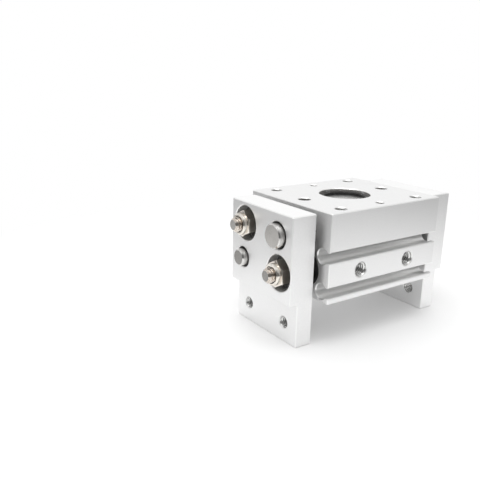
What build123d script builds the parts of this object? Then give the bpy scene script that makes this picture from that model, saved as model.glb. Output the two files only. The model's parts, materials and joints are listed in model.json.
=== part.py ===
from build123d import *
import math
import os

os.makedirs("parts", exist_ok=True)

# A wide-opening parallel air gripper: two fingers slide apart on the rods of two through-rod
# pistons and on two racks, and one pinion between the racks keeps the fingers in step.
# Lengths are in millimetres. X is the way the fingers slide, Y goes to the back and Z up.
# The origin is on the floor, under the middle of the body, with the fingers closed.

# Body
body_length = 50.0
body_side_wall = 5.2
edge_chamfer = 0.3
mouth_chamfer = 0.3
cutter_past = 1.0

# Fingers
leg_length = 14.8
leg_thickness = 6.35
finger_thickness = 9.37
finger_rim = 0.55
finger_top_drop = 0.6
finger_gap = 2.12
finger_travel = 10.0
leg_thread_radius = 2.0
leg_thread_spacing = 19.7
leg_thread_height = 6.7

# Clearances between pieces
fixed_gap = 0.02
running_gap = 0.04
seal_gap = 0.03
soft_gap = 0.08
washer_play = 0.1

# Pinion and racks
gear_module = 0.75
pinion_tooth_pairs = 8
pressure_angle = math.radians(20)
gear_backlash = 0.1
rack_addendum = 0.6
tooth_root_gap = 0.2
flank_steps = 5
pinion_width = 5.0
pinion_shaft_radius = 2.0
pinion_room = 0.75
rack_radius = 4.0
rack_flat_cut = 0.6
rack_room = 0.15
rack_to_cylinder_wall = 0.81
rack_protrusion = 2.0
rack_finger_room = 0.5
rack_end_chamfer = 0.35
rack_flat_margin = 0.3
rack_bush_length = 7.0
rack_bush_wall = 1.0
scraper_length = 1.3
scraper_inset = 0.2

# Pistons and their rods
bore_radius = 5.0
rod_radius = 3.0
piston_offset = 10.0
rod_protrusion = 1.9
rod_finger_room = 0.6
rod_end_chamfer = 0.5
piston_head_gap = 0.1
piston_nose_length = 2.5
piston_nose_room = 1.0
bumper_length = 1.5
piston_land = 0.8
piston_seal_width = 1.6
piston_seal_wall = 0.6
piston_rib = 0.8
magnet_width = 2.0
magnet_wall = 0.4
magnet_cover = 0.2
stop_gap = 0.3

# Covers at the ends of the cylinders
cover_step = 1.0
clip_thickness = 0.8
clip_inset = 0.4
clip_groove_depth = 0.4
clip_ring_width = 1.5
clip_opening = math.radians(32)
clip_opening_at = math.radians(200)
cover_ring_section = 0.9
cover_ring_inset = 2.0
rod_seal_width = 2.2
rod_seal_depth = 1.5
rod_seal_inset = 1.4

# Air ports and passages
port_radius = 2.5
port_depth = 4.5
port_drill_radius = 1.0
port_from_chamber_end = 2.44
passage_radius = 0.75
passage_rise = 1.5

# Switch slots along the front and back of the body
slot_radius = 2.5
slot_inset = 3.3
slot_mouth = 3.6
slot_to_cylinder_wall = 0.93
slot_floor = 1.21

# Top of the body
cover_rim = 1.5
cover_to_rack_wall = 0.68
top_recess = 1.2
ring_thickness = 0.9
ring_groove_depth = 0.4
ring_width = 1.9
ring_eye_radius = 1.45
ring_eye_hole_radius = 0.65
ring_eye_angle = math.radians(15)
ring_eye_drop = 2.05
ring_opening = math.radians(12)
cover_thickness = 1.1
cover_boss_radius = 4.0
cover_skin = 0.6
washer_thickness = 0.5
washer_radius = 4.0
shaft_seat = 2.0
top_thread_radius = 2.0
top_thread_from_end = 7.5
top_thread_from_side = 4.4
top_thread_depth = 8.5
dowel_radius = 1.5
dowel_depth = 5.0
through_hole_radius = 2.25
through_hole_from_end = 6.54
counterbore_radius = 4.0
counterbore_depth = 4.4

# Studs, nuts and spring washers that hold the fingers
stud_step = 0.5
stud_past_nut = 2.0
stud_tip = 0.8
stud_hole_gap = 0.05
thread_pitch = 0.8
thread_depth = 0.42
nut_recess_radius = 6.05
nut_recess_depth = 4.3
nut_across_flats = 8.0
nut_hex_height = 4.5
nut_collar_height = 1.6
nut_collar_radius = 3.6
nut_collar_chamfer = 0.4
nut_bore_gap = 0.03
spring_washer_room = 0.4
spring_washer_height = 1.2
spring_washer_thickness = 0.9

# Levels and stations worked out from the sizes above
body_end = body_length / 2
finger_inner = body_end + finger_gap
finger_outer = finger_inner + finger_thickness
leg_outer = finger_inner + leg_thickness
web_outer = finger_outer - nut_recess_depth
nut_inner = web_outer + spring_washer_height
nut_outer = nut_inner + nut_hex_height + nut_collar_height
stud_radius = rod_radius - stud_step
stud_end = nut_outer + stud_past_nut
finger_width = 2 * (piston_offset + nut_recess_radius + finger_rim)

pinion_teeth = 2 * pinion_tooth_pairs
pitch_radius = gear_module * pinion_teeth / 2
pinion_tip_radius = pitch_radius + gear_module
pinion_root_radius = pitch_radius - rack_addendum - tooth_root_gap
tooth_pitch = math.pi * gear_module
rack_y = pitch_radius + rack_radius - rack_flat_cut - rack_addendum
rack_end = finger_outer + rack_protrusion
scraper_outer = body_end - scraper_inset
scraper_inner = scraper_outer - scraper_length
rack_bush_inner = scraper_inner - rack_bush_length
rack_bush_radius = rack_radius + running_gap + rack_bush_wall
rack_seat_radius = rack_bush_radius + fixed_gap

end_bore_radius = bore_radius + cover_step
clip_groove_radius = end_bore_radius + clip_groove_depth
body_side = piston_offset + end_bore_radius + body_side_wall
body_width = 2 * body_side
slot_y = body_side - slot_inset
slot_reach = clip_groove_radius + slot_to_cylinder_wall + slot_radius
slot_rise = math.sqrt(slot_reach**2 - (slot_y - piston_offset) ** 2)

body_bottom = leg_length
rod_z = body_bottom + slot_floor + slot_radius + slot_rise
slot_levels = (rod_z - slot_rise, rod_z + slot_rise)
rack_reach = clip_groove_radius + rack_to_cylinder_wall + rack_seat_radius
rack_z = rod_z + math.sqrt(rack_reach**2 - (piston_offset - rack_y) ** 2)
cover_bottom = rack_z + rack_radius + rack_room + cover_to_rack_wall
ring_bottom = cover_bottom + cover_thickness
ring_top = ring_bottom + ring_thickness
body_top = ring_top + top_recess
body_height = body_top - body_bottom
finger_top = body_top - finger_top_drop

rod_end = finger_outer + rod_protrusion
piston_head_length = 2 * (piston_land + piston_seal_width + piston_rib) + magnet_width
piston_length = piston_head_length + 2 * (piston_nose_length + bumper_length)
piston_head_radius = bore_radius - piston_head_gap
piston_nose_radius = bore_radius - piston_nose_room
chamber_end = (piston_length + finger_travel) / 2 + stop_gap
clip_outer = body_end - clip_inset
clip_inner = clip_outer - clip_thickness
cover_radius = end_bore_radius - fixed_gap
cover_bore_radius = rod_radius + running_gap
clip_radius = clip_groove_radius - fixed_gap
port_x = chamber_end - port_from_chamber_end

top_thread_x = body_end - top_thread_from_end
top_thread_y = body_side - top_thread_from_side
through_hole_x = body_end - through_hole_from_end
pinion_bottom = rack_z - pinion_width / 2
pinion_top = rack_z + pinion_width / 2
cavity_floor = pinion_bottom - washer_play - washer_thickness
boss_bottom = pinion_top + washer_play + washer_thickness
cavity_radius = pinion_tip_radius + pinion_room
top_bore_radius = cavity_radius + cover_rim
shaft_top = ring_bottom - cover_skin

half_turn = Rot(0, 0, 180)


def along_x(y, z):
    """Place for a spun shape whose own height runs along +X."""
    return Pos(0, y, z) * Rot(0, 90, 0)


def into_front(x, z):
    """Place for a spun shape whose own height runs from the front face towards the back."""
    return Pos(x, -body_side, z) * Rot(-90, 0, 0)


def spun(outline):
    """A solid of revolution about Z from (radius, height) points."""
    face = make_face(Plane.XZ * Polyline(*outline, close=True))
    return revolve(face, Axis.Z)


def ring(inner, outer, low, high):
    """A plain ring about Z."""
    return spun([(inner, low), (outer, low), (outer, high), (inner, high)])


def bar(low, high, radius, low_chamfer=0.0, high_chamfer=0.0):
    """A round bar about Z, with a chamfer at either end."""
    outline = [(0, low), (radius - low_chamfer, low)]
    if low_chamfer:
        outline.append((radius, low + low_chamfer))
    if high_chamfer:
        outline.append((radius, high - high_chamfer))
    outline += [(radius - high_chamfer, high), (0, high)]
    return spun(outline)


def hole(low, high, radius, low_mouth=0.0, high_mouth=0.0):
    """A cutter for a round hole about Z that flares at a mouth, and runs past it."""
    outline = [(0, low)]
    if low_mouth:
        outline = [(0, low - cutter_past), (radius + low_mouth + cutter_past, low - cutter_past)]
    outline.append((radius, low + low_mouth))
    outline.append((radius, high - high_mouth))
    if high_mouth:
        outline += [(radius + high_mouth + cutter_past, high + cutter_past), (0, high + cutter_past)]
    else:
        outline.append((0, high))
    return spun(outline)


def stud():
    """The threaded end that a finger and its nut sit on: rings of thread past the nut, then a tip."""
    turns = int((stud_past_nut - stud_tip) / thread_pitch)
    start = stud_end - stud_tip - turns * thread_pitch
    outline = [(0, finger_inner), (stud_radius, finger_inner)]
    for turn in range(turns):
        level = start + turn * thread_pitch
        outline += [(stud_radius, level), (stud_radius - thread_depth, level + thread_pitch / 2)]
    outline += [(stud_radius, stud_end - stud_tip), (stud_radius - stud_tip, stud_end), (0, stud_end)]
    return spun(outline)


def slot(level):
    """Cutter for one switch slot in the front face: a round channel behind a narrower mouth."""
    run = body_length + 2 * cutter_past
    lip_side = (slot_mouth + 2 * edge_chamfer) / math.sqrt(2)
    channel = along_x(-slot_y, level) * hole(-body_end, body_end, slot_radius, mouth_chamfer, mouth_chamfer)
    neck = Pos(0, -body_side, level) * Box(run, 2 * slot_inset, slot_mouth)
    lip = Pos(0, -body_side, level) * Rot(45, 0, 0) * Box(run, lip_side, lip_side)
    return channel + neck + lip


def cylinder_bore():
    """Cutter for one cylinder along X with its wider ends and clip grooves."""
    half = [
        (bore_radius, chamber_end),
        (end_bore_radius, chamber_end),
        (end_bore_radius, clip_inner),
        (clip_groove_radius, clip_inner),
        (clip_groove_radius, clip_outer),
        (end_bore_radius, clip_outer),
        (end_bore_radius, body_end - mouth_chamfer),
        (end_bore_radius + mouth_chamfer, body_end),
        (end_bore_radius + mouth_chamfer, body_end + cutter_past),
        (0, body_end + cutter_past),
    ]
    mirrored = [(radius, -station) for radius, station in reversed(half)]
    return spun(mirrored + half)


def rack_bore():
    """Cutter for one rack's way through the body, with the seats of its bushes and scrapers."""
    half = [
        (rack_radius + rack_room, rack_bush_inner),
        (rack_seat_radius, rack_bush_inner),
        (rack_seat_radius, body_end - mouth_chamfer),
        (rack_seat_radius + mouth_chamfer, body_end),
        (rack_seat_radius + mouth_chamfer, body_end + cutter_past),
        (0, body_end + cutter_past),
    ]
    mirrored = [(radius, -station) for radius, station in reversed(half)]
    return spun(mirrored + half)


def pinion_cavity():
    """Cutter for the stepped bore under the top face: recess, ring groove, cover seat, pinion room."""
    return spun([
        (0, cavity_floor - shaft_seat),
        (pinion_shaft_radius + fixed_gap, cavity_floor - shaft_seat),
        (pinion_shaft_radius + fixed_gap, cavity_floor),
        (cavity_radius, cavity_floor),
        (cavity_radius, cover_bottom),
        (top_bore_radius, cover_bottom),
        (top_bore_radius, ring_bottom),
        (top_bore_radius + ring_groove_depth, ring_bottom),
        (top_bore_radius + ring_groove_depth, ring_top),
        (top_bore_radius, ring_top),
        (top_bore_radius, body_top - mouth_chamfer),
        (top_bore_radius + mouth_chamfer + cutter_past, body_top + cutter_past),
        (0, body_top + cutter_past),
    ])


def air_port(x):
    """Cutter for a threaded port in the front face and the small drill on into the cylinder."""
    thread = hole(0, port_depth, port_radius, low_mouth=mouth_chamfer)
    drill = bar(0, body_side - piston_offset, port_drill_radius)
    return into_front(x, rod_z) * (thread + drill)


def passage(x, rise):
    """Cutter for the passage from the front cylinder at x to the rear cylinder's far end."""
    start = Vector(x, -piston_offset, rod_z + rise)
    end = Vector(-x, piston_offset, rod_z + rise)
    run = end - start
    plane = Plane(origin=start, z_dir=run)
    return plane * Pos(0, 0, run.length / 2) * Cylinder(passage_radius, run.length)


def make_body():
    block = Pos(0, 0, body_bottom + body_height / 2) * Box(body_length, body_width, body_height)
    block = chamfer(block.edges(), edge_chamfer)
    for level in slot_levels:
        block -= slot(level)
        block -= half_turn * slot(level)
    for side in (-1, 1):
        block -= along_x(side * piston_offset, rod_z) * cylinder_bore()
        block -= along_x(side * rack_y, rack_z) * rack_bore()
        block -= air_port(side * port_x)
        block -= passage(side * port_x, side * passage_rise)
    block -= pinion_cavity()
    for x in (-1, 1):
        for y in (-1, 1):
            thread = hole(body_top - top_thread_depth, body_top, top_thread_radius, high_mouth=mouth_chamfer)
            block -= Pos(x * top_thread_x, y * top_thread_y, 0) * thread
        through = hole(body_bottom, body_top, through_hole_radius, mouth_chamfer, mouth_chamfer)
        head = hole(body_bottom, body_bottom + counterbore_depth, counterbore_radius, low_mouth=mouth_chamfer)
        block -= Pos(x * through_hole_x, 0, 0) * (through + head)
    for y in (-1, 1):
        dowel = hole(body_top - dowel_depth, body_top, dowel_radius, high_mouth=mouth_chamfer)
        block -= Pos(0, y * top_thread_y, 0) * dowel
    return block


def make_pinion_cover():
    plate = bar(cover_bottom, ring_bottom, top_bore_radius - fixed_gap, high_chamfer=mouth_chamfer)
    boss = bar(boss_bottom, cover_bottom, cover_boss_radius)
    seat = bar(boss_bottom, shaft_top, pinion_shaft_radius + fixed_gap)
    return plate + boss - seat


def make_retaining_ring():
    outer = top_bore_radius + ring_groove_depth - fixed_gap
    sketch = Circle(outer) - Circle(outer - ring_width)
    reach = 2 * outer
    edge_y = reach * math.sin(ring_opening)
    edge_x = -reach * math.cos(ring_opening)
    sketch -= make_face(Polyline((0, 0), (edge_x, edge_y), (edge_x, -edge_y), close=True))
    eye_at = outer - ring_eye_drop
    for side in (-1, 1):
        x = -eye_at * math.cos(ring_eye_angle)
        y = side * eye_at * math.sin(ring_eye_angle)
        sketch += Pos(x, y) * Circle(ring_eye_radius)
    for side in (-1, 1):
        x = -eye_at * math.cos(ring_eye_angle)
        y = side * eye_at * math.sin(ring_eye_angle)
        sketch -= Pos(x, y) * Circle(ring_eye_hole_radius)
    return Pos(0, 0, ring_bottom) * extrude(sketch, ring_thickness)


def flank_angle(radius):
    """Angle between a pinion tooth's middle and its flank at a radius, on an involute."""
    base = pitch_radius * math.cos(pressure_angle)
    turn = math.sqrt(max((radius / base) ** 2 - 1, 0))
    thickness = tooth_pitch / 2 - gear_backlash / 2
    at_pitch = thickness / 2 / pitch_radius
    return at_pitch + math.tan(pressure_angle) - pressure_angle - (turn - math.atan(turn))


def make_pinion():
    base = max(pitch_radius * math.cos(pressure_angle), pinion_root_radius)
    radii = [base + (pinion_tip_radius - base) * step / flank_steps for step in range(flank_steps + 1)]
    flank = [(pinion_root_radius, flank_angle(base))]
    flank += [(radius, flank_angle(radius)) for radius in radii if radius > pinion_root_radius]
    tooth = [(radius, -angle) for radius, angle in flank]
    tooth += list(reversed(flank))
    points = []
    for index in range(pinion_teeth):
        middle = math.pi / 2 + index * 2 * math.pi / pinion_teeth
        for radius, angle in tooth:
            points.append((radius * math.cos(middle + angle), radius * math.sin(middle + angle)))
    gear = extrude(make_face(Polyline(*points, close=True)), pinion_width)
    gear = Pos(0, 0, pinion_bottom) * gear
    return gear - bar(pinion_bottom, pinion_top, pinion_shaft_radius + running_gap)


def make_front_rack():
    """The front rack: the right finger carries it, and its teeth face the pinion behind it."""
    rod = bar(-rack_end, finger_inner, rack_radius, low_chamfer=rack_end_chamfer)
    rack = along_x(-rack_y, rack_z) * (rod + stud())
    surface = rack_y - rack_radius
    mesh_reach = math.sqrt(pinion_tip_radius**2 - surface**2) + rack_flat_margin
    gaps_ahead = math.ceil(mesh_reach / tooth_pitch - 0.5)
    gaps_behind = math.ceil((mesh_reach + finger_travel) / tooth_pitch - 0.5)
    flat_low = -(gaps_behind + 0.5) * tooth_pitch
    flat_high = (gaps_ahead + 0.5) * tooth_pitch
    flat_y = -pitch_radius + rack_addendum
    flat_depth = rack_radius
    flat = Pos((flat_low + flat_high) / 2, flat_y + flat_depth / 2, rack_z) * Box(
        flat_high - flat_low, flat_depth, 2 * (rack_radius + cutter_past)
    )
    rack -= flat
    gap_root = gear_module + tooth_root_gap
    gap_half = tooth_pitch / 4 + gear_backlash / 4
    slope = math.tan(pressure_angle)
    past = rack_addendum + fixed_gap
    gap = make_face(Polyline(
        (-gap_half - past * slope, -pitch_radius + past),
        (-gap_half + gap_root * slope, -pitch_radius - gap_root),
        (gap_half - gap_root * slope, -pitch_radius - gap_root),
        (gap_half + past * slope, -pitch_radius + past),
        close=True,
    ))
    cutter = Pos(0, 0, rack_z - rack_radius) * extrude(gap, 2 * rack_radius)
    for index in range(-gaps_behind, gaps_ahead + 1):
        rack -= Pos(index * tooth_pitch, 0, 0) * cutter
    return rack


def make_rear_piston_rod():
    """The rear piston rod, which the right finger carries."""
    rod = bar(-rod_end, finger_inner, rod_radius, low_chamfer=rod_end_chamfer)
    return along_x(piston_offset, rod_z) * (rod + stud())


def rear_piston_start():
    """Station of the rear piston's left end with the fingers closed."""
    return -chamber_end + stop_gap


def seal_starts():
    """Stations of the two piston seal grooves, measured in the rear piston."""
    head = rear_piston_start() + bumper_length + piston_nose_length
    return (head + piston_land, head + piston_head_length - piston_land - piston_seal_width)


def magnet_start():
    return rear_piston_start() + (piston_length - magnet_width) / 2


def make_rear_piston():
    start = rear_piston_start() + bumper_length
    head = start + piston_nose_length
    outline = [(rod_radius + fixed_gap, start), (piston_nose_radius, start), (piston_nose_radius, head)]
    outline.append((piston_head_radius, head))
    first_seal, second_seal = seal_starts()
    grooves = (
        (first_seal, piston_seal_width, rod_radius + piston_seal_wall),
        (magnet_start(), magnet_width, rod_radius + magnet_wall),
        (second_seal, piston_seal_width, rod_radius + piston_seal_wall),
    )
    for station, width, floor in grooves:
        outline += [(piston_head_radius, station), (floor, station)]
        outline += [(floor, station + width), (piston_head_radius, station + width)]
    tail = head + piston_head_length
    outline += [(piston_head_radius, tail), (piston_nose_radius, tail)]
    outline.append((piston_nose_radius, tail + piston_nose_length))
    outline.append((rod_radius + fixed_gap, tail + piston_nose_length))
    return along_x(piston_offset, rod_z) * spun(outline)


def make_rear_piston_seals():
    inner = rod_radius + piston_seal_wall + fixed_gap
    outer = bore_radius - seal_gap
    seals = [
        ring(inner, outer, station + fixed_gap, station + piston_seal_width - fixed_gap)
        for station in seal_starts()
    ]
    return [along_x(piston_offset, rod_z) * seal for seal in seals]


def make_rear_piston_magnet():
    inner = rod_radius + magnet_wall + fixed_gap
    outer = piston_head_radius - magnet_cover
    station = magnet_start()
    magnet = ring(inner, outer, station + fixed_gap, station + magnet_width - fixed_gap)
    return along_x(piston_offset, rod_z) * magnet


def make_rear_piston_bumpers():
    start = rear_piston_start()
    bumpers = [
        ring(rod_radius + fixed_gap, piston_nose_radius, station, station + bumper_length)
        for station in (start, start + piston_length - bumper_length)
    ]
    return [along_x(piston_offset, rod_z) * bumper for bumper in bumpers]


def make_right_finger():
    outline = Polyline(
        (finger_inner, 0),
        (leg_outer, 0),
        (leg_outer, leg_length),
        (finger_outer, leg_length),
        (finger_outer, finger_top),
        (finger_inner, finger_top),
        close=True,
    )
    finger = extrude(make_face(Plane.XZ * outline), finger_width / 2, both=True)
    inside_corner = Vector(leg_outer, 0, leg_length)
    edges = [edge for edge in finger.edges() if (edge.center() - inside_corner).length > edge_chamfer]
    finger = chamfer(edges, edge_chamfer)
    recess = hole(web_outer, finger_outer, nut_recess_radius, high_mouth=mouth_chamfer)
    stud_way = bar(finger_inner - cutter_past, finger_outer, stud_radius + stud_hole_gap)
    rack_way = hole(finger_inner, finger_outer, rack_radius + rack_finger_room, mouth_chamfer, mouth_chamfer)
    rod_way = hole(finger_inner, finger_outer, rod_radius + rod_finger_room, mouth_chamfer, mouth_chamfer)
    leg_thread = hole(finger_inner, leg_outer, leg_thread_radius, mouth_chamfer, mouth_chamfer)
    finger -= along_x(-rack_y, rack_z) * (recess + stud_way)
    finger -= along_x(piston_offset, rod_z) * (recess + stud_way)
    finger -= along_x(rack_y, rack_z) * rack_way
    finger -= along_x(-piston_offset, rod_z) * rod_way
    for side in (-1, 1):
        finger -= along_x(side * leg_thread_spacing / 2, leg_thread_height) * leg_thread
    return finger


def right_stud_places():
    """Axes of the two studs that the right finger sits on."""
    return (along_x(-rack_y, rack_z), along_x(piston_offset, rod_z))


def make_right_lock_nuts():
    shoulder = nut_inner + nut_hex_height
    flat = nut_across_flats / 2
    corner = flat / math.cos(math.radians(30))
    corner_drop = (corner - flat) * math.tan(math.radians(30))
    rounded = spun([
        (0, nut_inner),
        (flat, nut_inner),
        (corner, nut_inner + corner_drop),
        (corner, shoulder - corner_drop),
        (flat, shoulder),
        (nut_collar_radius, shoulder),
        (nut_collar_radius, nut_outer - nut_collar_chamfer),
        (nut_collar_radius - nut_collar_chamfer, nut_outer),
        (0, nut_outer),
    ])
    hexagon = Pos(0, 0, nut_inner) * extrude(RegularPolygon(corner, 6), nut_outer - nut_inner)
    bore = hole(nut_inner, nut_outer, stud_radius + nut_bore_gap, mouth_chamfer, mouth_chamfer)
    nut = (rounded & hexagon) - bore
    return [place * nut for place in right_stud_places()]


def make_right_spring_washers():
    inner = stud_radius + nut_bore_gap + mouth_chamfer
    outer = nut_recess_radius - spring_washer_room
    rise = spring_washer_height - spring_washer_thickness
    washer = spun([
        (inner, web_outer + rise),
        (outer, web_outer),
        (outer, web_outer + spring_washer_thickness),
        (inner, nut_inner),
    ])
    return [place * washer for place in right_stud_places()]


def make_right_rod_cover():
    """Cover at the right end of a cylinder, about Z, with its ring and seal grooves."""
    ring_station = chamber_end + cover_ring_inset
    ring_floor = cover_radius - cover_ring_section - fixed_gap
    seal_high = clip_inner - rod_seal_inset
    seal_low = seal_high - rod_seal_width
    seal_floor = cover_bore_radius + rod_seal_depth
    groove_width = cover_ring_section + 2 * soft_gap
    return spun([
        (cover_bore_radius, chamber_end),
        (cover_radius, chamber_end),
        (cover_radius, ring_station),
        (ring_floor, ring_station),
        (ring_floor, ring_station + groove_width),
        (cover_radius, ring_station + groove_width),
        (cover_radius, clip_inner),
        (cover_bore_radius, clip_inner),
        (cover_bore_radius, seal_high),
        (seal_floor, seal_high),
        (seal_floor, seal_low),
        (cover_bore_radius, seal_low),
    ])


def make_right_cover_ring():
    """Rubber ring in the groove of the right cover."""
    half_section = cover_ring_section / 2
    station = chamber_end + cover_ring_inset + soft_gap + half_section
    return Pos(0, 0, station) * Torus(cover_radius - half_section, half_section - fixed_gap)


def make_right_rod_seal():
    high = clip_inner - rod_seal_inset - fixed_gap
    low = high - rod_seal_width + 2 * fixed_gap
    return ring(rod_radius + seal_gap, cover_bore_radius + rod_seal_depth - fixed_gap, low, high)


def make_right_clip():
    """Open retaining ring in the end bore, in front of the right cover."""
    sketch = Circle(clip_radius) - Circle(clip_radius - clip_ring_width)
    reach = 2 * clip_radius
    corners = [
        (reach * math.cos(clip_opening_at + side * clip_opening / 2),
         reach * math.sin(clip_opening_at + side * clip_opening / 2))
        for side in (-1, 1)
    ]
    sketch -= make_face(Polyline((0, 0), *corners, close=True))
    gap = fixed_gap
    return Pos(0, 0, clip_inner + gap) * extrude(sketch, clip_thickness - 2 * gap)


def make_right_rack_bush():
    bush = ring(rack_radius + running_gap, rack_bush_radius, rack_bush_inner, scraper_inner)
    return bush


def make_right_scraper():
    return ring(rack_radius + soft_gap, rack_bush_radius, scraper_inner, scraper_outer)


def make_pinion_shaft():
    return bar(cavity_floor - shaft_seat, shaft_top, pinion_shaft_radius, mouth_chamfer, mouth_chamfer)


def save(name, *solids):
    """Write one node's file from its solids."""
    flat = [solid for item in solids for solid in item.solids()]
    shape = flat[0] if len(flat) == 1 else Compound(children=flat)
    export_step(shape, f"parts/{name}.step")


# Housing
save("body", make_body())
save("pinion_cover", make_pinion_cover())
save("retaining_ring", make_retaining_ring())
save("pinion_shaft", make_pinion_shaft())
washer_inner = pinion_shaft_radius + running_gap
save("lower_pinion_washer", ring(washer_inner, washer_radius, cavity_floor, cavity_floor + washer_thickness))
save("upper_pinion_washer", ring(washer_inner, washer_radius, boss_bottom - washer_thickness, boss_bottom))
end_pieces = {
    "rod_cover": (make_right_rod_cover(), piston_offset, rod_z),
    "cover_ring": (make_right_cover_ring(), piston_offset, rod_z),
    "rod_seal": (make_right_rod_seal(), piston_offset, rod_z),
    "cover_clip": (make_right_clip(), piston_offset, rod_z),
    "rack_bush": (make_right_rack_bush(), rack_y, rack_z),
    "rack_scraper": (make_right_scraper(), rack_y, rack_z),
}
for piece, (shape, offset, height) in end_pieces.items():
    rear = along_x(offset, height) * shape
    front = along_x(-offset, height) * shape
    save(f"rear_right_{piece}", rear)
    save(f"front_right_{piece}", front)
    save(f"front_left_{piece}", half_turn * rear)
    save(f"rear_left_{piece}", half_turn * front)

# Pinion
save("pinion", make_pinion())

# The two fingers with all that moves with them. The left set is the right one turned half round.
right_set = {
    ("right_finger", "left_finger"): [make_right_finger()],
    ("front_rack", "rear_rack"): [make_front_rack()],
    ("rear_piston_rod", "front_piston_rod"): [make_rear_piston_rod()],
    ("rear_piston", "front_piston"): [make_rear_piston()],
    ("rear_piston_seals", "front_piston_seals"): make_rear_piston_seals(),
    ("rear_piston_magnet", "front_piston_magnet"): [make_rear_piston_magnet()],
    ("rear_piston_bumpers", "front_piston_bumpers"): make_rear_piston_bumpers(),
    ("right_lock_nuts", "left_lock_nuts"): make_right_lock_nuts(),
    ("right_spring_washers", "left_spring_washers"): make_right_spring_washers(),
}
for (right_name, left_name), solids in right_set.items():
    save(right_name, *solids)
    save(left_name, *[half_turn * solid for solid in solids])
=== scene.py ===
import json
import math

import bmesh
import bpy
from mathutils import Euler, Matrix, Vector

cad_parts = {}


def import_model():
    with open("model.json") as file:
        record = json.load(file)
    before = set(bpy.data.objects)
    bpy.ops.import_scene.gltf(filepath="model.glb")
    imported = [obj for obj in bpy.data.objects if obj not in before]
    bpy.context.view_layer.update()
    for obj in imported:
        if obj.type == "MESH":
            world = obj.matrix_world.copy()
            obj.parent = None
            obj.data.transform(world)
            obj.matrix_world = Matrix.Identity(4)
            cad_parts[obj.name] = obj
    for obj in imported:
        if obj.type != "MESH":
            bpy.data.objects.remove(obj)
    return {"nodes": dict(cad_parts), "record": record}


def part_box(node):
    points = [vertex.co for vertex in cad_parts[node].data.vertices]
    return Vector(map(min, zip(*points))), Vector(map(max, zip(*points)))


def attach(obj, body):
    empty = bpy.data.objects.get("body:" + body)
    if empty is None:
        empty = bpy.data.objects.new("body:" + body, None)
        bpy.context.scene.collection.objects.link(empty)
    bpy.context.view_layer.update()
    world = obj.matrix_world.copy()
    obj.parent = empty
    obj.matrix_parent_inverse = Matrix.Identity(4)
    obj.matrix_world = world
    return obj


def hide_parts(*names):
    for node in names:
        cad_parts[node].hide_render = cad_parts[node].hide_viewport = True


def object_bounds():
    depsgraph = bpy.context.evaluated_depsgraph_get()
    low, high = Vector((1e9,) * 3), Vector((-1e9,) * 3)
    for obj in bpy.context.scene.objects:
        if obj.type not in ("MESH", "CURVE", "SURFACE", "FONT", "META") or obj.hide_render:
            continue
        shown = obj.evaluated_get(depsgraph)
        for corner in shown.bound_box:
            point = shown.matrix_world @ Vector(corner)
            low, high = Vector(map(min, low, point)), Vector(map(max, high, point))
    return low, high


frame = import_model()
cad_low, cad_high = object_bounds()

MM = 0.001
mounts = {mount["name"]: mount for mount in frame["record"]["mounts"]}

# Camera, solved from the straight edges and hole centres of the photograph
CAMERA_PLACE = Vector((-143.2, -147.0, 86.74)) * MM
CAMERA_AZIMUTH = math.radians(33.894)
CAMERA_ELEVATION = math.radians(-16.559)
CAMERA_ROLL = math.radians(0.865)
CAMERA_LENS = 43.43
CAMERA_SENSOR = 36.0

# Threads
PORT_PITCH = 0.8 * MM
SMALL_PITCH = 0.7 * MM
STUD_PITCH = 0.8 * MM
THREAD_DEPTH_SHARE = 0.60
MOUTH_CHAMFER = 0.3 * MM
SLEEVE_SKIN = 0.03 * MM
PORT_THREAD_LENGTH = 4.2 * MM
TOP_THREAD_LENGTH = 8.0 * MM
THREAD_FLAT = 0.12
THREAD_RISE = 0.74
ROD_TONE = (0.66, 0.65, 0.635)
END_TINT = (1.0, 0.975, 0.935)
RACK_END = 0.62
PISTON_ROD_END = 0.32
STUD_RADIUS = 2.5 * MM
STUD_PAST_NUT = 2.0 * MM
STUD_SHOWN = 2.4 * MM
STUD_LAP = 0.05 * MM
STUD_TIP = 0.8 * MM
# Radius, and height from the nut's outer face, of the ring's section in millimetres
NUT_RING_OUTLINE = (
    (2.46, -0.32), (2.46, -0.10), (2.52, -0.05), (2.66, -0.04), (2.76, -0.07), (2.79, -0.12), (2.60, -0.32),
)
STEPS_ROUND = 72
STEPS_PER_PITCH = 10

# Painted shade on the walls of the top's plain holes, which are cut by the drill and not blasted; in
# millimetres as the materials are
RECESS_RADIUS = 9.05
HOLE_SHADE_DEPTH = 7.0

# Studio: the sheet the object stands on, and the light round it. Distances on the sheet are in millimetres
FLOOR_LOW = (-0.26, -0.24)
FLOOR_HIGH = (0.90, 0.90)
FADE_START = 70.0
FADE_END = 190.0
FLOOR_GLOW = 0.11
# Painted pool of light and painted shadow: the glow that reflections see on the sheet
POOL_CENTRE = (5.0, -30.0, 0.0)
POOL_START = 75.0
POOL_END = 250.0
POOL_LEVEL = 1.40
SHADOW_REACH = 60 * MM
SHADOW_POWER = 0.6
POOL_SHARE = 0.85
BACKDROP_SIDE = (0.557, 0.831, 0.0)
ROOM_LEVEL = 0.20
OVERHEAD_LEVEL = 1.00
SOFTBOX_PLACE = (-0.12, -0.05, 0.50)
SOFTBOX_SIZE = 0.40
SOFTBOX_POWER = 1.15


# Node helpers

def add(tree, kind, inputs=None, **settings):
    """A shader node with its settings, and its inputs linked from sockets or set to values."""
    made = tree.nodes.new(kind)
    for key, value in settings.items():
        setattr(made, key, value)
    for key, value in (inputs or {}).items():
        if isinstance(value, bpy.types.NodeSocket):
            tree.links.new(value, made.inputs[key])
        else:
            made.inputs[key].default_value = value
    return made


def math_node(tree, operation, first, second=0.0):
    return add(tree, "ShaderNodeMath", {0: first, 1: second}, operation=operation).outputs[0]


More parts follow.
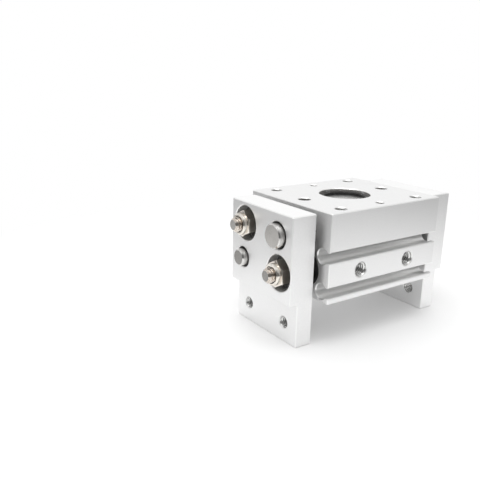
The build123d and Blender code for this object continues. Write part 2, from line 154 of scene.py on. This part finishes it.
def ramp(tree, value, low, high, to_low=0.0, to_high=1.0):
    """A value stretched from low..high to to_low..to_high, and held at both ends."""
    made = add(tree, "ShaderNodeMapRange", {
        "Value": value, "From Min": low, "From Max": high, "To Min": to_low, "To Max": to_high,
    })
    return made.outputs["Result"]


def mix_colour(tree, share, first, second):
    made = tree.nodes.new("ShaderNodeMix")
    made.data_type = "RGBA"
    for index, value in ((0, share), (6, first), (7, second)):
        if isinstance(value, bpy.types.NodeSocket):
            tree.links.new(value, made.inputs[index])
        else:
            made.inputs[index].default_value = value
    return made.outputs[2]


def colour(red, green, blue):
    return (red, green, blue, 1.0)


def new_material(name, metallic, specular=0.5):
    """A material with a Principled shader: itself, its tree, the shader and coordinates in millimetres."""
    material = bpy.data.materials.new(name)
    material.use_nodes = True
    tree = material.node_tree
    shader = tree.nodes["Principled BSDF"]
    shader.inputs["Metallic"].default_value = metallic
    shader.inputs["Specular IOR Level"].default_value = specular
    place = add(tree, "ShaderNodeTexCoord").outputs["Object"]
    millimetres = add(tree, "ShaderNodeVectorMath", {0: place, "Scale": 1 / MM}, operation="SCALE").outputs[0]
    return material, tree, shader, millimetres


def noise(tree, place, scale, detail=2.0, roughness=0.5, stretch=None):
    """Noise from 0 to 1, with scale in features per millimetre."""
    if stretch is not None:
        place = add(tree, "ShaderNodeVectorMath", {0: place, 1: stretch}, operation="MULTIPLY").outputs[0]
    made = add(tree, "ShaderNodeTexNoise", {
        "Vector": place, "Scale": scale, "Detail": detail, "Roughness": roughness,
    })
    return made.outputs["Fac"]


def bump(tree, height, depth_mm, strength):
    """A bump whose full height is depth_mm millimetres."""
    made = add(tree, "ShaderNodeBump", {"Strength": strength, "Distance": depth_mm * MM, "Height": height})
    return made.outputs["Normal"]


def off_axis_share(tree):
    """1 on chamfers and curved walls, 0 on faces square to the axes."""
    normal = add(tree, "ShaderNodeNewGeometry").outputs["True Normal"]
    folded = add(tree, "ShaderNodeVectorMath", {0: normal}, operation="ABSOLUTE").outputs[0]
    parts = add(tree, "ShaderNodeSeparateXYZ", {0: folded})
    largest = math_node(tree, "MAXIMUM", parts.outputs[0], parts.outputs[1])
    largest = math_node(tree, "MAXIMUM", largest, parts.outputs[2])
    return ramp(tree, largest, 0.999, 0.99, 0.0, 1.0)


# Materials

def hole_shade_share(tree, place):
    """1 on the walls of the plain holes in the top face, near the top, where the colour is painted darker as
    shade. The walls are cut by the drill and not blasted.
    """
    folded = add(tree, "ShaderNodeVectorMath", {0: place}, operation="ABSOLUTE").outputs[0]
    flat = add(tree, "ShaderNodeVectorMath", {0: folded, 1: (1.0, 1.0, 0.0)}, operation="MULTIPLY").outputs[0]
    share = 0.0
    recess = {"hole_r_mm": RECESS_RADIUS}
    for dims in (mounts["through_holes"]["dims"], mounts["dowel_holes"]["dims"], recess):
        centre = (dims.get("spacing_x_mm", 0.0) / 2, dims.get("spacing_y_mm", 0.0) / 2, 0.0)
        distance = add(tree, "ShaderNodeVectorMath", {0: flat, 1: centre}, operation="DISTANCE")
        distance = distance.outputs["Value"]
        inside = math_node(tree, "LESS_THAN", distance, dims["hole_r_mm"] + 0.02)
        share = inside if share == 0.0 else math_node(tree, "MAXIMUM", share, inside)
    height = add(tree, "ShaderNodeSeparateXYZ", {0: place}).outputs[2]
    shallow = math_node(tree, "GREATER_THAN", height, cad_high.z / MM - HOLE_SHADE_DEPTH)
    return math_node(tree, "MULTIPLY", share, shallow)


def blasted_aluminium(name, tone, metallic, roughness):
    """Fine blasted and clear anodised aluminium: a satin grain, faint mottle, and glossier cut edges that a
    painted highlight makes lighter.
    """
    material, tree, shader, place = new_material(name, metallic=metallic)
    grain = noise(tree, place, 3.4, detail=3.0, roughness=0.7)
    pits = noise(tree, place, 1.7, detail=2.0)
    mottle = noise(tree, place, 0.14, detail=3.0)
    cut = off_axis_share(tree)
    light, dark = [1.03 * part for part in tone], [0.95 * part for part in tone]
    base = mix_colour(tree, ramp(tree, grain, 0.3, 0.7), colour(*dark), colour(*light))
    base = mix_colour(tree, ramp(tree, pits, 0.52, 0.75, 0.0, 0.35), base, colour(*dark))
    dull = colour(*[0.97 * part for part in tone])
    base = mix_colour(tree, ramp(tree, mottle, 0.4, 0.7, 0.0, 0.5), base, dull)
    # Painted highlight: chamfers and curved walls are mixed towards a lighter grey.
    base = mix_colour(tree, math_node(tree, "MULTIPLY", cut, 0.6), base, colour(0.92, 0.92, 0.91))
    # Painted shade: the curved walls of the top's plain holes are darkened near the top.
    hole_wall_shade = hole_shade_share(tree, place)
    base = mix_colour(tree, math_node(tree, "MULTIPLY", hole_wall_shade, cut), base, colour(0.56, 0.55, 0.535))
    rough = ramp(tree, pits, 0.3, 0.7, roughness - 0.04, roughness + 0.05)
    rough = math_node(tree, "SUBTRACT", rough, math_node(tree, "MULTIPLY", cut, 0.06))
    tree.links.new(base, shader.inputs["Base Color"])
    tree.links.new(rough, shader.inputs["Roughness"])
    height = math_node(tree, "ADD", grain, math_node(tree, "MULTIPLY", pits, 0.8))
    tree.links.new(bump(tree, height, 0.004, 0.4), shader.inputs["Normal"])
    return material


def turned_metal(name, axis_y, axis_z, base, end_level, stud_start, stud_side):
    """Ground bar about a line along X, turned on its ends, with a darker thread past stud_start.

    stud_side is 1 where the stud points to +X, and -1 where it points to -X.
    """
    material, tree, shader, place = new_material(name, metallic=1.0)
    to_axis = (0.0, -axis_y, -axis_z)
    centred = add(tree, "ShaderNodeVectorMath", {0: place, 1: to_axis}, operation="ADD").outputs[0]
    parts = add(tree, "ShaderNodeSeparateXYZ", {0: centred})
    squares = math_node(tree, "ADD", math_node(tree, "POWER", parts.outputs[1], 2.0),
                        math_node(tree, "POWER", parts.outputs[2], 2.0))
    radius = math_node(tree, "SQRT", squares)
    rings = add(tree, "ShaderNodeTexNoise", {"W": radius, "Scale": 11.0, "Detail": 3.0},
                noise_dimensions="1D").outputs["Fac"]
    along = add(tree, "ShaderNodeTexNoise", {"W": parts.outputs[0], "Scale": 14.0, "Detail": 4.0},
                noise_dimensions="1D").outputs["Fac"]
    normal = add(tree, "ShaderNodeNewGeometry").outputs["True Normal"]
    facing = math_node(tree, "ABSOLUTE", add(tree, "ShaderNodeSeparateXYZ", {0: normal}).outputs[0])
    is_end = ramp(tree, facing, 0.85, 0.95)
    streak = noise(tree, centred, 0.8, detail=3.0, stretch=(9.0, 1.0, 1.0))
    height = math_node(tree, "ADD", math_node(tree, "MULTIPLY", rings, is_end),
                       math_node(tree, "MULTIPLY", along, math_node(tree, "SUBTRACT", 1.0, is_end)))
    dull = colour(*[0.92 * part for part in base])
    surface = mix_colour(tree, ramp(tree, streak, 0.3, 0.7), dull, colour(*base))
    groove = colour(*[0.82 * end_level * part for part in END_TINT])
    land = colour(*[end_level * part for part in END_TINT])
    end_tone = mix_colour(tree, ramp(tree, rings, 0.35, 0.65), groove, land)
    surface = mix_colour(tree, is_end, surface, end_tone)
    rough = math_node(tree, "ADD", 0.11, math_node(tree, "MULTIPLY", is_end, 0.14))
    threaded = ramp(tree, parts.outputs[0], stud_start - 0.01 * stud_side, stud_start)
    threaded = math_node(tree, "MULTIPLY", threaded, ramp(tree, radius, 2.6, 2.55))
    warm = mix_colour(tree, ramp(tree, noise(tree, centred, 2.0), 0.35, 0.65),
                      colour(0.50, 0.43, 0.37), colour(0.68, 0.64, 0.59))
    only_side = math_node(tree, "MULTIPLY", threaded, math_node(tree, "SUBTRACT", 1.0, is_end))
    surface = mix_colour(tree, only_side, surface, warm)
    tree.links.new(surface, shader.inputs["Base Color"])
    tree.links.new(rough, shader.inputs["Roughness"])
    tree.links.new(bump(tree, height, 0.006, 0.5), shader.inputs["Normal"])
    shader.inputs["Anisotropic"].default_value = 0.45
    tangent = add(tree, "ShaderNodeTangent", direction_type="RADIAL", axis="X")
    tree.links.new(tangent.outputs["Tangent"], shader.inputs["Tangent"])
    return material


def plated_nickel():
    """Bright nickel plate on the lock nuts: warm, glossy, with faint drag marks and dull patches."""
    material, tree, shader, place = new_material("plated_nickel", metallic=1.0)
    tone = noise(tree, place, 0.5, detail=3.0)
    drag = noise(tree, place, 4.0, detail=2.0, stretch=(6.0, 1.0, 1.0))
    base = mix_colour(tree, ramp(tree, tone, 0.35, 0.7), colour(0.80, 0.765, 0.71), colour(0.68, 0.63, 0.57))
    tree.links.new(base, shader.inputs["Base Color"])
    tree.links.new(ramp(tree, drag, 0.3, 0.75, 0.05, 0.12), shader.inputs["Roughness"])
    height = math_node(tree, "ADD", drag, math_node(tree, "MULTIPLY", tone, 2.0))
    tree.links.new(bump(tree, height, 0.01, 0.15), shader.inputs["Normal"])
    return material


def black_steel():
    """Black phosphate on spring steel: near black, a little glossy, rubbed grey here and there."""
    material, tree, shader, place = new_material("black_steel", metallic=0.0, specular=0.6)
    grain = noise(tree, place, 7.0, detail=3.0)
    rub = noise(tree, place, 0.9, detail=4.0)
    base = mix_colour(tree, ramp(tree, rub, 0.55, 0.8, 0.0, 0.5),
                      colour(0.012, 0.012, 0.012), colour(0.06, 0.056, 0.052))
    tree.links.new(base, shader.inputs["Base Color"])
    tree.links.new(ramp(tree, grain, 0.3, 0.7, 0.26, 0.42), shader.inputs["Roughness"])
    tree.links.new(bump(tree, grain, 0.006, 0.4), shader.inputs["Normal"])
    return material


def cut_aluminium(name, base=(0.72, 0.72, 0.71), roughness=0.24, rings_per_mm=3.5, about=None):
    """Bare cut aluminium: tool rings about the object's own Z, or about a line along Z."""
    material, tree, shader, place = new_material(name, metallic=1.0)
    parts = add(tree, "ShaderNodeSeparateXYZ", {0: place})
    squares = math_node(tree, "ADD", math_node(tree, "POWER", parts.outputs[0], 2.0),
                        math_node(tree, "POWER", parts.outputs[1], 2.0))
    radius = math_node(tree, "SQRT", squares) if about is None else parts.outputs[about]
    rings = add(tree, "ShaderNodeTexNoise", {"W": radius, "Scale": rings_per_mm, "Detail": 4.0},
                noise_dimensions="1D").outputs["Fac"]
    tone = noise(tree, place, 0.7, detail=2.0)
    low = colour(*[0.86 * part for part in base])
    surface = mix_colour(tree, ramp(tree, rings, 0.35, 0.65), low, colour(*base))
    surface = mix_colour(tree, ramp(tree, tone, 0.3, 0.8, 0.0, 0.35), surface, low)
    tree.links.new(surface, shader.inputs["Base Color"])
    tree.links.new(ramp(tree, rings, 0.3, 0.7, roughness, roughness + 0.12), shader.inputs["Roughness"])
    tree.links.new(bump(tree, rings, 0.008, 0.45), shader.inputs["Normal"])
    return material


def dark_anodised():
    """Black anodised aluminium of the rod covers and pistons."""
    material, tree, shader, place = new_material("dark_anodised", metallic=0.6)
    grain = noise(tree, place, 6.0, detail=3.0)
    tone = noise(tree, place, 0.6, detail=2.0)
    base = mix_colour(tree, ramp(tree, tone, 0.3, 0.7),
                      colour(0.018, 0.018, 0.020), colour(0.032, 0.032, 0.034))
    tree.links.new(base, shader.inputs["Base Color"])
    tree.links.new(ramp(tree, grain, 0.3, 0.7, 0.34, 0.46), shader.inputs["Roughness"])
    tree.links.new(bump(tree, grain, 0.006, 0.3), shader.inputs["Normal"])
    return material


def moulded(name, dark, light, roughness, translucent=0.0):
    """Moulded rubber or urethane with a fine skin and a little bloom."""
    material, tree, shader, place = new_material(name, metallic=0.0)
    skin = noise(tree, place, 5.0, detail=4.0)
    bloom = noise(tree, place, 0.8, detail=3.0)
    base = mix_colour(tree, ramp(tree, bloom, 0.4, 0.75), colour(*dark), colour(*light))
    tree.links.new(base, shader.inputs["Base Color"])
    tree.links.new(ramp(tree, skin, 0.3, 0.7, roughness - 0.06, roughness + 0.08), shader.inputs["Roughness"])
    tree.links.new(bump(tree, skin, 0.01, 0.4), shader.inputs["Normal"])
    shader.inputs["Subsurface Weight"].default_value = translucent
    return material


def sintered(name, dark, light, metallic, roughness):
    """Porous pressed metal: bronze bushes and the bonded magnets."""
    material, tree, shader, place = new_material(name, metallic=metallic)
    pores = add(tree, "ShaderNodeTexVoronoi", {"Vector": place, "Scale": 5.0}).outputs["Distance"]
    tone = noise(tree, place, 1.2, detail=3.0)
    base = mix_colour(tree, ramp(tree, pores, 0.08, 0.3), colour(*dark), colour(*light))
    base = mix_colour(tree, ramp(tree, tone, 0.4, 0.8, 0.0, 0.4), base, colour(*dark))
    tree.links.new(base, shader.inputs["Base Color"])
    tree.links.new(ramp(tree, tone, 0.3, 0.7, roughness - 0.08, roughness + 0.08), shader.inputs["Roughness"])
    tree.links.new(bump(tree, pores, 0.01, 0.4), shader.inputs["Normal"])
    return material


# Dressing of the CAD nodes

def dress(material, *names):
    for name in names:
        slots = frame["nodes"][name].material_slots
        for slot in slots:
            slot.material = material


def axis_of(node):
    """The line along X that a round node lies on, as y and z in millimetres."""
    low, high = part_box(node)
    return (low.y + high.y) / 2 / MM, (low.z + high.z) / 2 / MM


ENDS = ("front_right", "front_left", "rear_right", "rear_left")


def four(piece):
    return [f"{end}_{piece}" for end in ENDS]


def dress_all():
    dress(blasted_aluminium("blasted_body", (0.85, 0.85, 0.848), 0.86, 0.42), "body")
    dress(blasted_aluminium("blasted_fingers", (0.91, 0.91, 0.908), 0.74, 0.43),
          "left_finger", "right_finger")
    finger_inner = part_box("right_finger")[0].x / MM
    for rod, end_level, side in (
        ("front_rack", RACK_END, 1), ("rear_piston_rod", PISTON_ROD_END, 1),
        ("rear_rack", RACK_END, -1), ("front_piston_rod", PISTON_ROD_END, -1),
    ):
        axis_y, axis_z = axis_of(rod)
        stud_start = side * finger_inner
        dress(turned_metal(f"ground_{rod}", axis_y, axis_z, ROD_TONE, end_level, stud_start, side), rod)
    dress(plated_nickel(), "left_lock_nuts", "right_lock_nuts")
    black = black_steel()
    dress(black, "retaining_ring", "left_spring_washers", "right_spring_washers", *four("cover_clip"))
    dress(cut_aluminium("turned_cover"), "pinion_cover")
    dress(cut_aluminium("cut_gear_steel", base=(0.50, 0.50, 0.51)), "pinion", "pinion_shaft")
    dress(cut_aluminium("washer_steel", base=(0.55, 0.55, 0.56), rings_per_mm=6.0),
          "lower_pinion_washer", "upper_pinion_washer")
    dress(dark_anodised(), "front_piston", "rear_piston", *four("rod_cover"))
    dress(sintered("sintered_bronze", (0.20, 0.13, 0.06), (0.52, 0.36, 0.19), 0.9, 0.42), *four("rack_bush"))
    dress(sintered("bonded_magnet", (0.05, 0.05, 0.05), (0.13, 0.125, 0.12), 0.3, 0.55),
          "front_piston_magnet", "rear_piston_magnet")
    rubber = moulded("black_rubber", (0.010, 0.010, 0.010), (0.028, 0.027, 0.026), 0.55)
    dress(rubber, "front_piston_seals", "rear_piston_seals",
          *four("cover_ring"), *four("rod_seal"), *four("rack_scraper"))
    dress(moulded("amber_urethane", (0.42, 0.24, 0.09), (0.55, 0.34, 0.14), 0.4, translucent=0.2),
          "front_piston_bumpers", "rear_piston_bumpers")


# Threads

def thread_profile(phase):
    """Height of a thread from root 0 to crest 1 at a phase from 0 to 1, with small flats."""
    rise = 1 - abs(2 * phase - 1)
    return min(max((rise - THREAD_FLAT) / THREAD_RISE, 0.0), 1.0)


def mesh_piece(name, points, faces, material):
    mesh = bpy.data.meshes.new(name)
    mesh.from_pydata(points, [], faces)
    mesh.validate()
    mesh.materials.append(material)
    piece = bpy.data.objects.new(name, mesh)
    bpy.context.scene.collection.objects.link(piece)
    return piece


def smooth_below(piece, degrees):
    """Smooth shading over edges that turn less than that."""
    for polygon in piece.data.polygons:
        polygon.use_smooth = True
    piece.data.set_sharp_from_angle(angle=math.radians(degrees))


def grid_faces(rows, around, start=0, flip=False):
    faces = []
    for row in range(rows - 1):
        for step in range(around):
            after = (step + 1) % around
            face = [start + row * around + step, start + row * around + after,
                    start + (row + 1) * around + after, start + (row + 1) * around + step]
            faces.append(face[::-1] if flip else face)
    return faces


def round_point(radius, angle, level):
    """A point at a radius and an angle about Z, at that height."""
    return Vector((radius * math.cos(angle), radius * math.sin(angle), level))


def female_thread(name, mouth, inward, major, length, pitch, material, body, open_end=False):
    """A thin sleeve inside a plain hole, with a helical thread cut into its inner side.

    mouth is the hole's centre in the face, and inward points into the hole.
    """
    depth = THREAD_DEPTH_SHARE * pitch
    start, end = MOUTH_CHAMFER * 0.6, length - (MOUTH_CHAMFER * 0.6 if open_end else 0.0)
    rows = int((end - start) / pitch * STEPS_PER_PITCH)
    turn = Vector((0, 0, 1)).rotation_difference(inward).to_matrix().to_4x4()
    place = Matrix.Translation(mouth) @ turn
    points = []
    for row in range(rows + 1):
        level = start + (end - start) * row / rows
        fade = min((level - start) / pitch, 1.0)
        if open_end:
            fade = min(fade, (end - level) / pitch)
        for step in range(STEPS_ROUND):
            share = step / STEPS_ROUND
            phase = (level / pitch - share) % 1.0
            radius = major - depth * thread_profile(phase) * max(fade, 0.0)
            angle = share * math.tau
            points.append(place @ round_point(radius, angle, level))
    outer = major + SLEEVE_SKIN
    for level in (start, end):
        for step in range(STEPS_ROUND):
            angle = step / STEPS_ROUND * math.tau
            points.append(place @ round_point(outer, angle, level))
    faces = grid_faces(rows + 1, STEPS_ROUND, flip=True)
    skin = (rows + 1) * STEPS_ROUND
    faces += grid_faces(2, STEPS_ROUND, start=skin)
    last = rows * STEPS_ROUND
    far = skin + STEPS_ROUND
    for step in range(STEPS_ROUND):
        after = (step + 1) % STEPS_ROUND
        faces.append([step, after, skin + after, skin + step])
        faces.append([last + after, last + step, far + step, far + after])
    piece = mesh_piece(name, points, faces, material)
    closed(piece)
    smooth_below(piece, 40)
    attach(piece, body)
    return piece


def threads_of_holes():
    bright = cut_aluminium("cut_thread", base=(0.72, 0.72, 0.71), roughness=0.15, rings_per_mm=5.0, about=2)
    # The top threads get a darker copy: the darker colour is painted shade in the deep holes, with a higher
    # roughness.
    dull = cut_aluminium("cut_top_thread", base=(0.62, 0.62, 0.61), roughness=0.32, rings_per_mm=5.0, about=2)
    for side in ("left", "right"):
        mount = mounts[f"{side}_air_port"]
        place = Vector(mount["pos_m"])
        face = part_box("body")[0].y
        mouth = Vector((place.x, face, place.z))
        female_thread(f"{side}_port_thread", mouth, Vector((0, 1, 0)), mount["dims"]["r_mm"] * MM,
                                  PORT_THREAD_LENGTH, PORT_PITCH, bright, "housing")
        mount = mounts[f"{side}_leg_threads"]
        outward = Vector(mount["axis"])
        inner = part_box(f"{side}_finger")[1 if side == "left" else 0].x
        for end, sign in (("front", -1), ("rear", 1)):
            mouth = Vector(mount["pos_m"]) + Vector((0, sign * mount["dims"]["spacing_x_mm"] / 2 * MM, 0))
            through = abs(mouth.x - inner)
            female_thread(f"{side}_leg_{end}_thread", mouth, -outward,
                                      mount["dims"]["hole_r_mm"] * MM, through, SMALL_PITCH, bright,
                                      f"{side}_jaw", open_end=True)
    mount = mounts["top_threads"]
    for x_name, x_sign in (("left", -1), ("right", 1)):
        for y_name, y_sign in (("front", -1), ("rear", 1)):
            mouth = Vector((x_sign * mount["dims"]["spacing_x_mm"] / 2 * MM,
                            y_sign * mount["dims"]["spacing_y_mm"] / 2 * MM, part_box("body")[1].z))
            female_thread(f"top_{y_name}_{x_name}_thread", mouth, Vector((0, 0, -1)),
                                      mount["dims"]["hole_r_mm"] * MM, TOP_THREAD_LENGTH, SMALL_PITCH,
                                      dull, "housing")


def closed(piece):
    """Outward normals on every closed shell of a piece."""
    work = bmesh.new()
    work.from_mesh(piece.data)
    bmesh.ops.recalc_face_normals(work, faces=work.faces)
    work.to_mesh(piece.data)
    work.free()


def threaded_rod(node, sign, body):
    """The rod of a node with a helical thread on its stud end, in place of the solid's plain rings."""
    source = frame["nodes"][node]
    low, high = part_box(node)
    axis = Vector((0, (low.y + high.y) / 2, (low.z + high.z) / 2))
    tip = high.x if sign > 0 else -low.x
    cut = tip - STUD_SHOWN
    work = bmesh.new()
    work.from_mesh(source.data)
    bmesh.ops.bisect_plane(work, geom=work.verts[:] + work.edges[:] + work.faces[:], dist=1e-7,
                           plane_co=(sign * cut, 0, 0), plane_no=(sign, 0, 0), clear_outer=True)
    rim = [edge for edge in work.edges if edge.is_boundary]
    bmesh.ops.holes_fill(work, edges=rim, sides=0)
    turn = Vector((0, 0, 1)).rotation_difference(Vector((sign, 0, 0))).to_matrix().to_4x4()
    place = Matrix.Translation(axis + Vector((sign * (cut - STUD_LAP), 0, 0))) @ turn
    length = STUD_SHOWN + STUD_LAP
    rows = int(length / STUD_PITCH * STEPS_PER_PITCH * 2)
    depth = THREAD_DEPTH_SHARE * STUD_PITCH
    grid = []
    for row in range(rows + 1):
        level = length * row / rows
        cone = STUD_RADIUS - max(level - (length - STUD_TIP), 0.0)
        ring = []
        for step in range(STEPS_ROUND):
            share = step / STEPS_ROUND
            radius = STUD_RADIUS - depth * (1 - thread_profile((level / STUD_PITCH - share) % 1.0))
            radius = min(radius, cone)
            angle = share * math.tau
            ring.append(work.verts.new(place @ round_point(radius, angle, level)))
        grid.append(ring)
    for lower, upper in zip(grid, grid[1:]):
        for step in range(STEPS_ROUND):
            after = (step + 1) % STEPS_ROUND
            work.faces.new((lower[step], lower[after], upper[after], upper[step]))
    work.faces.new(grid[0][::-1])
    work.faces.new(grid[-1])
    bmesh.ops.recalc_face_normals(work, faces=work.faces)
    mesh = bpy.data.meshes.new(f"{node}_threaded")
    work.to_mesh(mesh)
    work.free()
    mesh.materials.append(source.material_slots[0].material)
    piece = bpy.data.objects.new(mesh.name, mesh)
    bpy.context.scene.collection.objects.link(piece)
    smooth_below(piece, 32)
    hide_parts(node)
    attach(piece, body)


def collar_ring(name, node, sign, body, material):
    """A dark ring round the thread in the mouth of the collar of the lock nut on this rod's stud."""
    low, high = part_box(node)
    axis = Vector((0, (low.y + high.y) / 2, (low.z + high.z) / 2))
    tip = high.x if sign > 0 else -low.x
    face = tip - STUD_PAST_NUT
    points, faces = [], []
    for step in range(STEPS_ROUND):
        angle = step / STEPS_ROUND * math.tau
        for radius, level in NUT_RING_OUTLINE:
            points.append(axis + Vector((sign * (face + level * MM), radius * MM * math.cos(angle),
                                         radius * MM * math.sin(angle))))
    count = len(NUT_RING_OUTLINE)
    for step in range(STEPS_ROUND):
        after = (step + 1) % STEPS_ROUND
        for index in range(count):
            follow = (index + 1) % count
            faces.append((step * count + index, step * count + follow,
                          after * count + follow, after * count + index))
    piece = mesh_piece(name, points, faces, material)
    closed(piece)
    smooth_below(piece, 50)
    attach(piece, body)


def threads_of_studs():
    dark_ring = moulded("collar_ring", (0.014, 0.012, 0.011), (0.045, 0.036, 0.030), 0.45)
    for node, sign, body in (
        ("rear_rack", -1, "left_jaw"), ("front_piston_rod", -1, "left_jaw"),
        ("front_rack", 1, "right_jaw"), ("rear_piston_rod", 1, "right_jaw"),
    ):
        threaded_rod(node, sign, body)
        collar_ring(f"{node}_nut_ring", node, sign, body, dark_ring)


# Stage, light and camera

def white_rays(tree):
    """1 for rays that show the plain white background whatever lies there."""
    rays = add(tree, "ShaderNodeLightPath")
    return math_node(tree, "MAXIMUM", rays.outputs["Is Camera Ray"], rays.outputs["Is Transmission Ray"])


def stage():
    """A white sheet that keeps the soft shadow near the object, and fades to plain white further out. In
    reflections it glows instead, with a painted pool of light round the object and a painted shadow under it.
    """
    low, high = FLOOR_LOW, FLOOR_HIGH
    corners = [(low[0], low[1], 0), (high[0], low[1], 0), (high[0], high[1], 0), (low[0], high[1], 0)]
    material, tree, shader, place = new_material("white_floor", metallic=0.0, specular=0.2)
    floor = mesh_piece("floor", corners, [(0, 1, 2, 3)], material)
    speck = noise(tree, place, 0.05, detail=3.0)
    tree.links.new(mix_colour(tree, speck, colour(0.95, 0.95, 0.95), colour(0.97, 0.97, 0.97)),
                   shader.inputs["Base Color"])
    shader.inputs["Roughness"].default_value = 0.6
    distance = add(tree, "ShaderNodeVectorMath", {0: place}, operation="LENGTH").outputs["Value"]
    far = ramp(tree, distance, FADE_START, FADE_END, FLOOR_GLOW, 1.0)
    glow = add(tree, "ShaderNodeEmission", {"Color": colour(1, 1, 1), "Strength": 1.0})
    plain = add(tree, "ShaderNodeMixShader", {
        0: math_node(tree, "MULTIPLY", far, white_rays(tree)), 1: shader.outputs[0], 2: glow.outputs[0]})
    # Painted pool of light, darkened by a painted shadow near the object, seen only in reflections
    reach = add(tree, "ShaderNodeVectorMath", {0: place, 1: POOL_CENTRE}, operation="DISTANCE")
    pool = ramp(tree, reach.outputs["Value"], POOL_START, POOL_END, POOL_LEVEL, ROOM_LEVEL)
    shadow = add(tree, "ShaderNodeAmbientOcclusion", {"Distance": SHADOW_REACH}).outputs["AO"]
    pool = math_node(tree, "MULTIPLY", pool, math_node(tree, "POWER", shadow, SHADOW_POWER))
    mirrored = add(tree, "ShaderNodeEmission", {"Color": colour(1, 1, 1), "Strength": pool})
    glossy = add(tree, "ShaderNodeLightPath").outputs["Is Glossy Ray"]
    share = math_node(tree, "MULTIPLY", glossy, POOL_SHARE)
    mixed = add(tree, "ShaderNodeMixShader", {0: share, 1: plain.outputs[0], 2: mirrored.outputs[0]})
    output = tree.nodes["Material Output"]
    tree.links.new(mixed.outputs[0], output.inputs["Surface"])


def world():
    """White to the camera. The object sees a white backdrop behind, soft light above and a dim room."""
    made = bpy.data.worlds.new("studio")
    bpy.context.scene.world = made
    made.use_nodes = True
    tree = made.node_tree
    tree.nodes.clear()
    direction = add(tree, "ShaderNodeTexCoord").outputs["Generated"]
    height = add(tree, "ShaderNodeSeparateXYZ", {0: direction}).outputs[2]
    towards = add(tree, "ShaderNodeVectorMath", {0: direction, 1: BACKDROP_SIDE}, operation="DOT_PRODUCT")
    backdrop = ramp(tree, towards.outputs["Value"], 0.15, 0.55)
    above = ramp(tree, height, 0.35, 0.7)
    light = math_node(tree, "MAXIMUM", backdrop, math_node(tree, "MULTIPLY", above, OVERHEAD_LEVEL))
    shade = math_node(tree, "MAXIMUM", light, ROOM_LEVEL)
    studio = add(tree, "ShaderNodeBackground", {"Color": colour(1, 1, 1), "Strength": shade})
    white = add(tree, "ShaderNodeBackground", {"Color": colour(1, 1, 1), "Strength": 1.0})
    mixed = add(tree, "ShaderNodeMixShader", {
        0: white_rays(tree), 1: studio.outputs[0], 2: white.outputs[0]})
    output = add(tree, "ShaderNodeOutputWorld")
    tree.links.new(mixed.outputs[0], output.inputs["Surface"])


def softbox():
    """One square area light above the object, aimed at the origin."""
    data = bpy.data.lights.new("top_softbox", "AREA")
    data.shape = "SQUARE"
    data.size = SOFTBOX_SIZE
    data.energy = SOFTBOX_POWER
    made = bpy.data.objects.new("top_softbox", data)
    bpy.context.scene.collection.objects.link(made)
    made.location = SOFTBOX_PLACE
    made.rotation_euler = (-Vector(SOFTBOX_PLACE)).to_track_quat("-Z", "Y").to_euler()


def camera():
    data = bpy.data.cameras.new("camera")
    data.sensor_fit = "HORIZONTAL"
    data.sensor_width = CAMERA_SENSOR
    data.lens = CAMERA_LENS
    data.clip_start = 0.01
    data.clip_end = 20.0
    made = bpy.data.objects.new("camera", data)
    bpy.context.scene.collection.objects.link(made)
    made.location = CAMERA_PLACE
    level = Euler((math.pi / 2 + CAMERA_ELEVATION, 0, -CAMERA_AZIMUTH), "XYZ").to_matrix().to_4x4()
    roll = Matrix.Rotation(CAMERA_ROLL, 4, "Z")
    made.rotation_euler = (level @ roll).to_euler()
    bpy.context.scene.camera = made


dress_all()
threads_of_holes()
threads_of_studs()
stage()
world()
softbox()
camera()
bpy.context.scene.view_settings.view_transform = "Standard"
